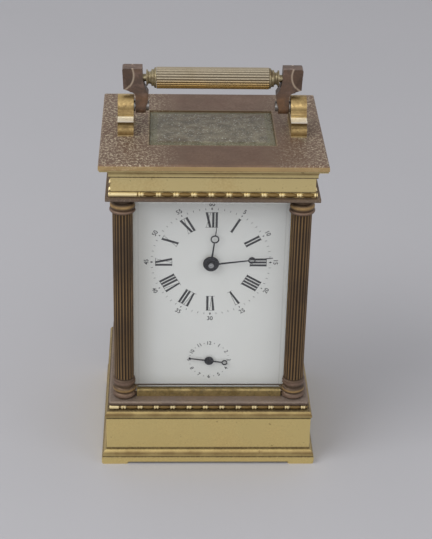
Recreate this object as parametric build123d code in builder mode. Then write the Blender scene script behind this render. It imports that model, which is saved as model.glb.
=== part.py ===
from build123d import *
import os
from math import atan2, cos, degrees, radians, sin, sqrt

# Officers clock: brass column case, bevelled glasses, rear door, alarm movement.
# Millimetres, +Z up, the dial faces -Y, origin under the middle of the base.

# Case plan sizes, as half extents of each course
ROOF_X, ROOF_Y = 48.0, 39.5
BAND_X, BAND_Y = 46.4, 37.9
SEAT_X, SEAT_Y = 45.3, 36.8
ARCHITRAVE_X, ARCHITRAVE_Y = 45.4, 36.9
FRIEZE_X, FRIEZE_Y = 43.1, 34.6

# Case heights
FOOT_H = 1.2
BASE_RING_TOP = 27.2
BEAD_H = 2.2
SEAT_T = 2.2
COLUMN_H = 100.2
ARCHITRAVE_T = 1.6
FRIEZE_H = 14.1
ROOF_T = 2.7
SEAT_BOTTOM = BASE_RING_TOP + BEAD_H
SEAT_TOP = SEAT_BOTTOM + SEAT_T
COLUMN_TOP = SEAT_TOP + COLUMN_H
ARCHITRAVE_TOP = COLUMN_TOP + ARCHITRAVE_T
FRIEZE_TOP = ARCHITRAVE_TOP + FRIEZE_H
ROOF_TOP = FRIEZE_TOP + ROOF_T

# Walls, gaps and small fits
WALL = 3.0
FOOT_SIDE = 12.0
FOOT_OVERHANG = 2.2
FLOOR_T = 1.5
GAP = 0.2
RUN = 0.05
FLAT_GAP = 0.1

# Columns
COLUMN_INSET = 7.1
COLUMN_X = SEAT_X - COLUMN_INSET
COLUMN_Y = SEAT_Y - COLUMN_INSET
SHAFT_R = 4.45
FLUTES = 20
FLUTE_R = 0.46
FOOT_R = 5.4
CAPITAL_R = 5.6
SCREW_R = 1.3
SCREW_HEAD_R = 2.5
SCREW_HEAD_T = 1.4
SCREW_GRIP = 6.0

# Glasses and rails
GLASS_T = 2.0
GLASS_BEVEL = 3.2
GLASS_BEVEL_DEPTH = 0.7
GROOVE_DEPTH = 1.2
RAIL_H = 3.5
RAIL_W = 4.0
RAIL_GROOVE = 1.5
ROOF_GLASS_X, ROOF_GLASS_Y = 27.0, 19.0
ROOF_GLASS_T = 1.9
ROOF_GLASS_BEVEL = 4.0
ROOF_REBATE = 1.8

# Rear door
DOOR_T = 2.8
DOOR_STILE = 5.6
DOOR_AXIS_INSET = 7.3
DOOR_SET_BACK = 0.5
DOOR_FLOOR_GAP = 0.4
DOOR_REBATE = 1.5
DOOR_GLASS_T = 1.6
DOOR_PIN_R = 0.7
DOOR_PIN_DEPTH = 1.5
DOOR_KNOB_R = 2.6
DOOR_AXIS_X = -(COLUMN_X - DOOR_AXIS_INSET)
DOOR_Y = COLUMN_Y + DOOR_SET_BACK
DOOR_RIGHT = COLUMN_X - FOOT_R - 0.6
DOOR_BOTTOM = SEAT_TOP + DOOR_FLOOR_GAP
DOOR_TOP = COLUMN_TOP - DOOR_FLOOR_GAP

# Handle
PIVOT_Z = ROOF_TOP + 10.2
GRIP_Z = ROOF_TOP + 23.0
GRIP_R = 4.6
GRIP_HALF = 24.0
GRIP_RIBS = 22
RIB_R = 0.62
COLLAR_R = 3.6
SPOOL_L = 4.4
ARM_BLOCK_GAP = 1.6
ARM_BLOCK_W = 8.6
ARM_SWEEP = 2.6
ARM_FOOT_SET = 1.2
ARM_FOOT_T = 4.3
ARM_NECK = 2.3
SUPPORT_GAP = 0.9
SUPPORT_W = 6.8
ARM_BLOCK_IN = GRIP_HALF + SPOOL_L + ARM_BLOCK_GAP
ARM_OUT = ARM_BLOCK_IN + ARM_BLOCK_W
ARM_IN = ARM_BLOCK_IN - ARM_SWEEP
ARM_FOOT_IN = ARM_IN + ARM_FOOT_SET
ARM_FOOT_OUT = ARM_FOOT_IN + ARM_FOOT_T
ARM_NECK_OUT = ARM_FOOT_OUT + ARM_NECK
SUPPORT_IN = ARM_FOOT_OUT + SUPPORT_GAP
SUPPORT_OUT = SUPPORT_IN + SUPPORT_W
SCREW_BOSS_R = 2.2
ARM_DEPTH = 5.9
ARM_TOP = ROOF_TOP + 28.0
ARM_FOOT_R = 3.2
SUPPORT_BACK = 10.0
SUPPORT_LIP_H = 7.1
SUPPORT_LIP_IN = 6.0
SUPPORT_LOBE_R = 5.0
PIVOT_R = 1.2
PIVOT_COLLAR_R = 2.6
ROD_R = 1.6

# Dial and hands
DIAL_FACE_Y = -24.6
DIAL_T = 1.0
DIAL_HALF = 33.3
DIAL_BOTTOM, DIAL_TOP = SEAT_TOP + 2.4, COLUMN_TOP - 0.6
CENTRE_Z = 97.3
ALARM_Z = 47.1
MINUTE_ANGLE = 82.8
HOUR_ANGLE = 6.9
ALARM_ANGLE = 97.8
MINUTE_LEN, MINUTE_RING_R = 27.1, 1.58
HOUR_LEN, HOUR_RING_R = 18.4, 1.9
RING_AT = 0.66
RING_WEB = 0.5
HAND_T = 0.3
HOUR_HAND_Y = -26.3
MINUTE_HAND_Y = -27.1
ALARM_HAND_Y = -25.7
ALARM_LEN, ALARM_TAIL, ALARM_RING_R = 8.4, 8.8, 1.3

# Movement
PLATE_X = 30.0
PLATE_T = 2.0
FRONT_PLATE_Y = -18.0
BACK_PLATE_Y = 16.0
MOVEMENT_SEAT_T = 2.0
PLATES_BOTTOM = SEAT_TOP + MOVEMENT_SEAT_T
PLATES_TOP = 118.5
PILLAR_R = 2.2
PILLAR_INSET = 3.6
PIVOT_HOLE = 0.05
ARBOR_R = 0.9
PIVOT_END_R = 0.5
PLATFORM_T = 1.5
PLATFORM_X = 15.0
MODULE_BARREL, MODULE_WHEEL, MODULE_THIRD = 0.42, 0.36, 0.30
MODULE_MOTION, MODULE_HOUR = 0.30, 0.288
BARREL_TEETH, SECOND_LEAVES = 80, 14
SECOND_TEETH, CENTRE_LEAVES = 64, 12
CENTRE_TEETH, THIRD_LEAVES = 64, 8
THIRD_TEETH, CONTRATE_LEAVES = 60, 8
CANNON_LEAVES, MINUTE_WHEEL_TEETH = 12, 36
MINUTE_WHEEL_LEAVES, HOUR_WHEEL_TEETH = 10, 40
CROWN_TEETH = 44
MOST_LEAVES = 16
# Tooth forms in modules: above and below the pitch circle, then widths at tip, pitch and root
WHEEL_TOOTH = (0.9, 1.1, 0.6, 1.4, 1.7)
PINION_LEAF = (0.7, 1.25, 0.6, 1.05, 1.15)
RIM_W = 1.5
WHEEL_ARM_W = 1.2
HUB_R = 2.5

os.makedirs("parts", exist_ok=True)


def write(part, name):
    part.label = name
    export_step(part, f"parts/{name}.step")


def front_plane(y, x=0.0, z=0.0, angle=0.0):
    """An upright plane at depth y, facing the front; its own up leans clockwise by angle."""
    a = radians(angle)
    return Plane(origin=(x, y, z), x_dir=(cos(a), 0, -sin(a)), z_dir=(0, -1, 0))


def rod(x, z, r, y_front, y_back, mode=Mode.ADD):
    with BuildSketch(front_plane(y_back, x, z)) as disc:
        Circle(r)
    extrude(disc.sketch, amount=y_back - y_front, mode=mode)


def post(x, y, r, z_low, z_high, mode=Mode.ADD):
    with BuildSketch(Plane.XY.offset(z_low)) as disc:
        with Locations((x, y)):
            Circle(r)
    extrude(disc.sketch, amount=z_high - z_low, mode=mode)


def side_plane(x, z=0.0):
    """An upright plane at x, facing the right side: local x runs to the rear, local y up."""
    return Plane(origin=(x, 0, z), x_dir=(0, 1, 0), z_dir=(1, 0, 0))


def along_x(z, r, x0, x1, mode=Mode.ADD):
    with BuildSketch(side_plane(x0, z)) as disc:
        Circle(r)
    extrude(disc.sketch, amount=x1 - x0, mode=mode)


def block(x0, x1, y0, y1, z0, z1, mode=Mode.ADD):
    with Locations(((x0 + x1) / 2, (y0 + y1) / 2, (z0 + z1) / 2)):
        Box(x1 - x0, y1 - y0, z1 - z0, mode=mode)


def corners(x, y):
    return [(sx * x, sy * y) for sx in (-1, 1) for sy in (-1, 1)]


def course_path(half_x, half_y):
    return Polyline(
        (0, -half_y),
        (half_x, -half_y),
        (half_x, half_y),
        (-half_x, half_y),
        (-half_x, -half_y),
        (0, -half_y),
    )


def course_plane(half_y):
    """The section plane of a moulding at the middle of the front: local x outward, y up."""
    return Plane(origin=(0, -half_y, 0), x_dir=(0, -1, 0), z_dir=(-1, 0, 0))


# Base: feet, moulded ring, floor, bead strip and the plate that the columns stand on
with BuildPart() as corner_feet:
    foot_x = BAND_X + FOOT_OVERHANG - FOOT_SIDE / 2
    foot_y = BAND_Y + FOOT_OVERHANG - FOOT_SIDE / 2
    with BuildSketch():
        with Locations(corners(foot_x, foot_y)):
            RectangleRounded(FOOT_SIDE, FOOT_SIDE, 1.0)
    extrude(amount=FOOT_H)
write(corner_feet.part, "corner_feet")

BAND_LOW = FOOT_H + 6.2
BAND_HIGH = BASE_RING_TOP - 3.7
with BuildPart() as base_moulding:
    with BuildLine() as path:
        course_path(BAND_X, BAND_Y)
    with BuildSketch(course_plane(BAND_Y)):
        with BuildLine():
            Polyline((-WALL, FOOT_H), (2.2, FOOT_H), (2.2, FOOT_H + 2.2), (1.8, FOOT_H + 2.5))
            ThreePointArc((1.8, FOOT_H + 2.5), (1.5, FOOT_H + 4.4), (0.4, BAND_LOW - 0.5))
            Polyline((0.4, BAND_LOW - 0.5), (0, BAND_LOW - 0.4), (0, BAND_HIGH))
            Polyline((0, BAND_HIGH), (-0.4, BAND_HIGH + 0.1), (-0.4, BAND_HIGH + 0.6))
            Polyline((-0.4, BAND_HIGH + 0.6), (0.5, BAND_HIGH + 0.7), (0.5, BAND_HIGH + 1.2))
            ThreePointArc(
                (0.5, BAND_HIGH + 1.2), (0.1, BASE_RING_TOP - 1.0), (-0.9, BASE_RING_TOP)
            )
            Polyline((-0.9, BASE_RING_TOP), (-WALL, BASE_RING_TOP), (-WALL, FOOT_H))
        make_face()
    sweep(path=path.wire(), transition=Transition.RIGHT)
write(base_moulding.part, "base_moulding")

with BuildPart() as base_floor:
    with BuildSketch(Plane.XY.offset(FOOT_H)):
        Rectangle(2 * (BAND_X - WALL - FLAT_GAP), 2 * (BAND_Y - WALL - FLAT_GAP))
    extrude(amount=FLOOR_T)
write(base_floor.part, "base_floor")


def bead_strip(half_x, half_y, z_low):
    """A half-round strip round the case."""
    with BuildPart() as strip:
        with BuildLine() as strip_path:
            course_path(half_x, half_y)
        with BuildSketch(course_plane(half_y)):
            with BuildLine():
                Line((0, z_low), (0.2, z_low))
                ThreePointArc(
                    (0.2, z_low), (0.2 + BEAD_H / 2 - 0.1, z_low + BEAD_H / 2), (0.2, z_low + BEAD_H)
                )
                Polyline((0.2, z_low + BEAD_H), (0, z_low + BEAD_H), (0, z_low))
            make_face()
        sweep(path=strip_path.wire(), transition=Transition.RIGHT)
    return strip.part


BASE_BEAD_X, BASE_BEAD_Y = SEAT_X - 1.4, SEAT_Y - 1.4
write(bead_strip(BASE_BEAD_X, BASE_BEAD_Y, BASE_RING_TOP), "base_bead_strip")

with BuildPart() as base_seat:
    with BuildSketch(Plane.XY.offset(SEAT_BOTTOM)):
        Rectangle(2 * SEAT_X, 2 * SEAT_Y)
    extrude(amount=SEAT_T)
    upright = base_seat.edges().filter_by(Axis.Z)
    fillet(upright, 1.0)
    rims = base_seat.faces().filter_by(Axis.Z).edges()
    fillet(rims, SEAT_T / 2 - 0.15)
    with BuildSketch(Plane.XY.offset(BASE_RING_TOP)):
        Rectangle(2 * (BASE_BEAD_X - FLAT_GAP), 2 * (BASE_BEAD_Y - FLAT_GAP))
        Rectangle(2 * (BAND_X - WALL - 4.0), 2 * (BAND_Y - WALL - 4.0), mode=Mode.SUBTRACT)
    extrude(amount=BEAD_H)
    for column_x, column_y in corners(COLUMN_X, COLUMN_Y):
        post(column_x, column_y, SCREW_R + GAP, BASE_RING_TOP, SEAT_TOP, Mode.SUBTRACT)
        post(column_x, column_y, SCREW_HEAD_R + GAP, BASE_RING_TOP, SEAT_BOTTOM, Mode.SUBTRACT)
    post(DOOR_AXIS_X, DOOR_Y, DOOR_PIN_R + RUN, SEAT_TOP - DOOR_PIN_DEPTH, SEAT_TOP, Mode.SUBTRACT)
    with BuildSketch(Plane.XY.offset(SEAT_BOTTOM)):
        with Locations((18.0, 0)):
            RectangleRounded(10.0, 16.0, 2.0)
    extrude(amount=SEAT_T, mode=Mode.SUBTRACT)
write(base_seat.part, "base_seat")

# Columns: turned foot and capital, fluted shaft, grooves that hold the glasses
CAPITAL_Z = COLUMN_TOP - 7.0
SHAFT_LOW = SEAT_TOP + 9.6


def column(x, y, glass_sides):
    """A turned column; glass_sides are the directions in which a glass edge enters it."""
    base = SEAT_TOP
    top = COLUMN_TOP
    with BuildPart() as turned:
        with BuildSketch(Plane.XZ):
            with BuildLine():
                Line((0, base), (FOOT_R - 0.9, base))
                ThreePointArc((FOOT_R - 0.9, base), (FOOT_R, base + 1.3), (FOOT_R - 0.7, base + 2.7))
                Line((FOOT_R - 0.7, base + 2.7), (FOOT_R - 0.7, base + 3.1))
                ThreePointArc(
                    (FOOT_R - 0.7, base + 3.1), (FOOT_R - 0.1, base + 4.3), (FOOT_R - 0.9, base + 5.6)
                )
                Line((FOOT_R - 0.9, base + 5.6), (FOOT_R - 0.9, base + 7.0))
                Line((FOOT_R - 0.9, base + 7.0), (FOOT_R - 0.3, base + 7.2))
                Line((FOOT_R - 0.3, base + 7.2), (FOOT_R - 0.3, base + 9.2))
                Line((FOOT_R - 0.3, base + 9.2), (SHAFT_R, SHAFT_LOW))
                Line((SHAFT_R, SHAFT_LOW), (SHAFT_R, CAPITAL_Z))
                ThreePointArc(
                    (SHAFT_R, CAPITAL_Z), (CAPITAL_R + 0.1, CAPITAL_Z + 0.7), (CAPITAL_R - 0.5, CAPITAL_Z + 1.5)
                )
                ThreePointArc(
                    (CAPITAL_R - 0.5, CAPITAL_Z + 1.5),
                    (CAPITAL_R - 0.2, CAPITAL_Z + 3.2),
                    (SHAFT_R - 0.3, top - 2.2),
                )
                Line((SHAFT_R - 0.3, top - 2.2), (SHAFT_R - 0.3, top - 1.6))
                ThreePointArc((SHAFT_R - 0.3, top - 1.6), (SHAFT_R + 0.1, top - 1.2), (SHAFT_R - 0.2, top - 0.8))
                Line((SHAFT_R - 0.2, top - 0.8), (SHAFT_R - 0.2, top))
                Line((SHAFT_R - 0.2, top), (0, top))
                Line((0, top), (0, base))
            make_face()
        revolve(axis=Axis.Z)
        with BuildSketch(Plane.XY.offset(SHAFT_LOW + 0.3)):
            with PolarLocations(SHAFT_R + 0.12, FLUTES, start_angle=180 / FLUTES):
                Circle(FLUTE_R)
        extrude(amount=CAPITAL_Z - SHAFT_LOW - 0.8, mode=Mode.SUBTRACT)
        half = GLASS_T / 2 + FLAT_GAP
        low = base + RAIL_H - RAIL_GROOVE - FLAT_GAP
        near = SHAFT_R - GROOVE_DEPTH
        for dx, dy in glass_sides:
            far = FOOT_R + 1.0
            if dx:
                block(min(dx * near, dx * far), max(dx * near, dx * far), -half, half, low, top, Mode.SUBTRACT)
            else:
                block(-half, half, min(dy * near, dy * far), max(dy * near, dy * far), low, top, Mode.SUBTRACT)
        post(0, 0, SCREW_R, base, base + SCREW_GRIP, Mode.SUBTRACT)
        post(0, 0, SCREW_R, top - SCREW_GRIP, top, Mode.SUBTRACT)
    return turned.part.moved(Location((x, y, 0)))


write(column(-COLUMN_X, -COLUMN_Y, [(1, 0), (0, 1)]), "column_front_left")
write(column(COLUMN_X, -COLUMN_Y, [(-1, 0), (0, 1)]), "column_front_right")
write(column(-COLUMN_X, COLUMN_Y, [(0, -1)]), "column_rear_left")
write(column(COLUMN_X, COLUMN_Y, [(0, -1)]), "column_rear_right")

with BuildPart() as column_screws:
    for column_x, column_y in corners(COLUMN_X, COLUMN_Y):
        reach = SCREW_GRIP - 0.5
        post(column_x, column_y, SCREW_R - FLAT_GAP, SEAT_BOTTOM, SEAT_TOP + reach)
        post(column_x, column_y, SCREW_HEAD_R, SEAT_BOTTOM - SCREW_HEAD_T, SEAT_BOTTOM)
        post(column_x, column_y, SCREW_R - FLAT_GAP, COLUMN_TOP - reach, ARCHITRAVE_TOP)
        post(column_x, column_y, SCREW_HEAD_R, ARCHITRAVE_TOP, ARCHITRAVE_TOP + SCREW_HEAD_T)
write(column_screws.part, "column_screws")

# Glasses and their brass rails on the front and the two sides
GLASS_LOW = SEAT_TOP + RAIL_H - RAIL_GROOVE
GLASS_HIGH = COLUMN_TOP - GAP
GLASS_REACH = SHAFT_R - GROOVE_DEPTH + FLAT_GAP


def wall_glass(half_width):
    """An upright glass in its own frame, bevelled all round its outer face at -Y."""
    with BuildPart() as pane:
        with BuildSketch(front_plane(GLASS_T / 2, 0, (GLASS_LOW + GLASS_HIGH) / 2)):
            Rectangle(2 * half_width, GLASS_HIGH - GLASS_LOW)
        extrude(amount=GLASS_T)
        outer = pane.faces().sort_by(Axis.Y)[0]
        chamfer(outer.edges(), GLASS_BEVEL, GLASS_BEVEL_DEPTH, reference=outer)
    return pane.part


def glass_rail(half_length):
    """A rounded brass rail with the groove that the glass stands in."""
    with BuildPart() as rail:
        block(-half_length, half_length, -RAIL_W / 2, RAIL_W / 2, SEAT_TOP, SEAT_TOP + RAIL_H)
        fillet(rail.edges().filter_by(Axis.X).group_by(Axis.Z)[-1], 0.8)
        half = GLASS_T / 2 + FLAT_GAP
        block(-half_length, half_length, -half, half, GLASS_LOW, SEAT_TOP + RAIL_H, Mode.SUBTRACT)
    return rail.part


front_half = COLUMN_X - GLASS_REACH
side_half = COLUMN_Y - GLASS_REACH
front_rail_half = COLUMN_X - FOOT_R - GAP
side_rail_half = COLUMN_Y - FOOT_R - GAP
write(wall_glass(front_half).moved(Location((0, -COLUMN_Y, 0))), "front_glass")
rails = [glass_rail(front_rail_half).moved(Location((0, -COLUMN_Y, 0)))]
for side, turn, side_name in ((-1, -90, "left"), (1, 90, "right")):
    placed = Location((side * COLUMN_X, 0, 0), (0, 0, turn))
    write(wall_glass(side_half).moved(placed), f"{side_name}_glass")
    rails.append(glass_rail(side_rail_half).moved(placed))
write(Compound(children=rails), "glass_rails")

# Cornice: architrave plate, frieze with its cavetto, bead strip and roof plate
with BuildPart() as architrave:
    with BuildSketch(Plane.XY.offset(COLUMN_TOP)):
        Rectangle(2 * ARCHITRAVE_X, 2 * ARCHITRAVE_Y)
    extrude(amount=ARCHITRAVE_T)
    fillet(architrave.faces().sort_by(Axis.Z)[0].edges(), 0.6)
    with BuildSketch(Plane.XY.offset(COLUMN_TOP)):
        RectangleRounded(62.0, 46.0, 2.0)
    extrude(amount=ARCHITRAVE_T, mode=Mode.SUBTRACT)
    for column_x, column_y in corners(COLUMN_X, COLUMN_Y):
        post(column_x, column_y, SCREW_R + GAP, COLUMN_TOP, ARCHITRAVE_TOP, Mode.SUBTRACT)
    post(DOOR_AXIS_X, DOOR_Y, DOOR_PIN_R + RUN, COLUMN_TOP, ARCHITRAVE_TOP, Mode.SUBTRACT)
write(architrave.part, "architrave")

with BuildPart() as cornice_frieze:
    band_top = FRIEZE_TOP - 5.1
    with BuildLine() as path:
        course_path(FRIEZE_X, FRIEZE_Y)
    with BuildSketch(course_plane(FRIEZE_Y)):
        with BuildLine():
            Polyline((-WALL, ARCHITRAVE_TOP), (0, ARCHITRAVE_TOP), (0, band_top), (0.8, band_top + 0.1))
            Line((0.8, band_top + 0.1), (0.8, band_top + 1.0))
            ThreePointArc(
                (0.8, band_top + 1.0), (1.7, FRIEZE_TOP - 1.7), (4.1, FRIEZE_TOP - 0.8)
            )
            Polyline((4.1, FRIEZE_TOP - 0.8), (4.5, FRIEZE_TOP - 0.8), (4.5, FRIEZE_TOP))
            Polyline((4.5, FRIEZE_TOP), (-WALL, FRIEZE_TOP), (-WALL, ARCHITRAVE_TOP))
        make_face()
    sweep(path=path.wire(), transition=Transition.RIGHT)
    for column_x, column_y in corners(COLUMN_X, COLUMN_Y):
        post(column_x, column_y, SCREW_HEAD_R + GAP, ARCHITRAVE_TOP, ARCHITRAVE_TOP + 2.0, Mode.SUBTRACT)
write(cornice_frieze.part, "cornice_frieze")
write(bead_strip(FRIEZE_X, FRIEZE_Y, ARCHITRAVE_TOP), "cornice_bead_strip")

with BuildPart() as roof_plate:
    with BuildSketch(Plane.XY.offset(FRIEZE_TOP)):
        Rectangle(2 * ROOF_X, 2 * ROOF_Y)
    extrude(amount=ROOF_T)
    fillet(roof_plate.faces().sort_by(Axis.Z)[-1].edges(), 1.2)
    with BuildSketch(Plane.XY.offset(FRIEZE_TOP)):
        Rectangle(2 * (ROOF_GLASS_X - ROOF_REBATE), 2 * (ROOF_GLASS_Y - ROOF_REBATE))
    extrude(amount=ROOF_T, mode=Mode.SUBTRACT)
    with BuildSketch(Plane.XY.offset(ROOF_TOP - ROOF_GLASS_T)):
        Rectangle(2 * (ROOF_GLASS_X + FLAT_GAP), 2 * (ROOF_GLASS_Y + FLAT_GAP))
    extrude(amount=ROOF_GLASS_T, mode=Mode.SUBTRACT)
write(roof_plate.part, "roof_plate")

with BuildPart() as roof_glass:
    with BuildSketch(Plane.XY.offset(ROOF_TOP - ROOF_GLASS_T)):
        Rectangle(2 * ROOF_GLASS_X, 2 * ROOF_GLASS_Y)
    extrude(amount=ROOF_GLASS_T)
    lid = roof_glass.faces().sort_by(Axis.Z)[-1]
    chamfer(lid.edges(), ROOF_GLASS_BEVEL, 0.8, reference=lid)
write(roof_glass.part, "roof_glass")

# Handle: two scrolled brackets, pivot screws, two swept arms, spools and a reeded grip
lip = ROOF_TOP + SUPPORT_LIP_H


def support(side):
    """A stepped scroll bracket: a low lobe, a lip that the folded arm meets, a round head."""
    with BuildPart() as bracket:
        with BuildSketch(side_plane(side * SUPPORT_IN)):
            with BuildLine():
                for s in (-1, 1):
                    Line((0, ROOF_TOP), (s * SUPPORT_BACK, ROOF_TOP))
                    Line((s * SUPPORT_BACK, ROOF_TOP), (s * SUPPORT_BACK, ROOF_TOP + 0.5))
                    ThreePointArc(
                        (s * SUPPORT_BACK, ROOF_TOP + 0.5),
                        (s * (SUPPORT_BACK + 0.3), ROOF_TOP + 2.2),
                        (s * (SUPPORT_BACK - 0.4), ROOF_TOP + 3.9),
                    )
                    ThreePointArc(
                        (s * (SUPPORT_BACK - 0.4), ROOF_TOP + 3.9),
                        (s * (SUPPORT_BACK - 1.0), ROOF_TOP + 5.2),
                        (s * SUPPORT_BACK, lip - 0.6),
                    )
                    Line((s * SUPPORT_BACK, lip - 0.6), (s * SUPPORT_BACK, lip))
                    Line((s * SUPPORT_BACK, lip), (s * SUPPORT_LIP_IN, lip))
                    ThreePointArc(
                        (s * SUPPORT_LIP_IN, lip),
                        (s * (SUPPORT_LIP_IN + 0.1), lip + 1.5),
                        (s * SUPPORT_LOBE_R, PIVOT_Z),
                    )
                    ThreePointArc(
                        (s * SUPPORT_LOBE_R, PIVOT_Z),
                        (s * SUPPORT_LOBE_R * sqrt(0.5), PIVOT_Z + SUPPORT_LOBE_R * sqrt(0.5)),
                        (0, PIVOT_Z + SUPPORT_LOBE_R),
                    )
            make_face()
        extrude(amount=side * (SUPPORT_OUT - SUPPORT_IN))
        along_x(PIVOT_Z, PIVOT_R + GAP, side * SUPPORT_IN, side * SUPPORT_OUT, Mode.SUBTRACT)
    return bracket.part


write(Compound(children=[support(-1), support(1)]), "handle_supports")


def arm(side):
    """A swept arm: narrow foot on the pivot, outward scroll block that takes the grip rod."""
    with BuildPart() as swept:
        with BuildSketch(front_plane(ARM_DEPTH / 2)):
            with BuildLine():
                Line((ARM_FOOT_IN, PIVOT_Z), (ARM_FOOT_IN, PIVOT_Z - ARM_FOOT_R))
                Line((ARM_FOOT_IN, PIVOT_Z - ARM_FOOT_R), (ARM_FOOT_OUT, PIVOT_Z - ARM_FOOT_R))
                Line((ARM_FOOT_OUT, PIVOT_Z - ARM_FOOT_R), (ARM_FOOT_OUT, PIVOT_Z + 5.0))
                ThreePointArc(
                    (ARM_FOOT_OUT, PIVOT_Z + 5.0),
                    (ARM_FOOT_OUT + 0.4, PIVOT_Z + 6.2),
                    (ARM_NECK_OUT, PIVOT_Z + 7.2),
                )
                Line((ARM_NECK_OUT, PIVOT_Z + 7.2), (ARM_OUT - 0.4, GRIP_Z - 4.6))
                Line((ARM_OUT - 0.4, GRIP_Z - 4.6), (ARM_OUT, ARM_TOP))
                Line((ARM_OUT, ARM_TOP), (ARM_BLOCK_IN, ARM_TOP))
                Line((ARM_BLOCK_IN, ARM_TOP), (ARM_BLOCK_IN - 0.1, GRIP_Z + 1.6))
                ThreePointArc(
                    (ARM_BLOCK_IN - 0.1, GRIP_Z + 1.6),
                    (ARM_BLOCK_IN - 0.7, GRIP_Z - 2.4),
                    (ARM_IN, GRIP_Z - 6.6),
                )
                ThreePointArc(
                    (ARM_IN, GRIP_Z - 6.6), (ARM_IN + 0.3, PIVOT_Z + 3.2), (ARM_FOOT_IN, PIVOT_Z)
                )
            make_face()
        extrude(amount=ARM_DEPTH)
        foot = swept.edges().filter_by(Axis.X).group_by(Axis.Z)[0]
        fillet(foot, ARM_DEPTH / 2 - 0.1)
        fillet(swept.edges().filter_by(Axis.Y).group_by(Axis.Z)[-1].sort_by(Axis.X)[-1], 0.8)
        crown = [
            (ARM_NECK_OUT + 0.5, GRIP_Z - 6.0),
            (ARM_OUT + 3.0, GRIP_Z - 6.0),
            (ARM_OUT + 3.0, GRIP_Z + 3.6),
        ]
        for face_y in (-ARM_DEPTH / 2, ARM_DEPTH / 2 - 0.7):
            with BuildSketch(front_plane(face_y + 0.7)):
                with BuildLine():
                    ThreePointArc(crown[0], (ARM_NECK_OUT + 1.0, GRIP_Z - 0.6), crown[2])
                    Polyline(crown[2], crown[1], crown[0])
                make_face()
            extrude(amount=0.7, mode=Mode.SUBTRACT)
        along_x(PIVOT_Z, PIVOT_R + RUN, 0, ARM_OUT, Mode.SUBTRACT)
        along_x(PIVOT_Z, SCREW_BOSS_R + GAP, 0, ARM_FOOT_IN + FLAT_GAP, Mode.SUBTRACT)
        along_x(GRIP_Z, ROD_R + RUN, 0, ARM_OUT - 2.0, Mode.SUBTRACT)
    return swept.part if side > 0 else swept.part.mirror(Plane.YZ)


write(arm(-1), "handle_arm_left")
write(arm(1), "handle_arm_right")


with BuildPart() as pivot_screws:
    for s in (-1, 1):
        along_x(PIVOT_Z, PIVOT_R, s * (ARM_FOOT_IN - 1.0), s * (SUPPORT_OUT - 1.0))
        along_x(PIVOT_Z, SCREW_BOSS_R, s * ARM_FOOT_IN, s * (ARM_FOOT_IN - 1.4))
        along_x(PIVOT_Z, PIVOT_COLLAR_R, s * (ARM_FOOT_OUT + GAP), s * (SUPPORT_IN - FLAT_GAP / 2))
write(pivot_screws.part, "handle_pivot_screws")

with BuildPart() as grip:
    with BuildSketch(side_plane(-GRIP_HALF, GRIP_Z)):
        Circle(GRIP_R - 0.45)
        with PolarLocations(GRIP_R - RIB_R + 0.05, GRIP_RIBS):
            Circle(RIB_R)
        Circle(ROD_R + RUN, mode=Mode.SUBTRACT)
    extrude(amount=2 * GRIP_HALF)
write(grip.part, "handle_grip")

with BuildPart() as spools:
    for s in (-1, 1):
        with BuildSketch(Plane.XY.offset(GRIP_Z)):
            with BuildLine():
                Polyline(
                    (s * (GRIP_HALF + FLAT_GAP), ROD_R + RUN),
                    (s * (GRIP_HALF + FLAT_GAP), GRIP_R - 0.2),
                    (s * (GRIP_HALF + 0.8), GRIP_R - 0.2),
                    (s * (GRIP_HALF + 1.2), COLLAR_R),
                    (s * (GRIP_HALF + 2.2), COLLAR_R),
                )
                ThreePointArc(
                    (s * (GRIP_HALF + 2.2), COLLAR_R),
                    (s * (GRIP_HALF + SPOOL_L - 1.4), COLLAR_R - 1.0),
                    (s * (GRIP_HALF + SPOOL_L - 0.6), COLLAR_R - 0.1),
                )
                Polyline(
                    (s * (GRIP_HALF + SPOOL_L - 0.6), COLLAR_R - 0.1),
                    (s * (GRIP_HALF + SPOOL_L), COLLAR_R - 0.1),
                    (s * (GRIP_HALF + SPOOL_L), ROD_R + RUN),
                    (s * (GRIP_HALF + FLAT_GAP), ROD_R + RUN),
                )
            make_face()
        revolve(axis=Axis(origin=(0, 0, GRIP_Z), direction=(1, 0, 0)))
write(spools.part, "handle_spools")

with BuildPart() as grip_rod:
    along_x(GRIP_Z, ROD_R, -(ARM_OUT - 2.2), ARM_OUT - 2.2)
write(grip_rod.part, "handle_rod")

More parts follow.
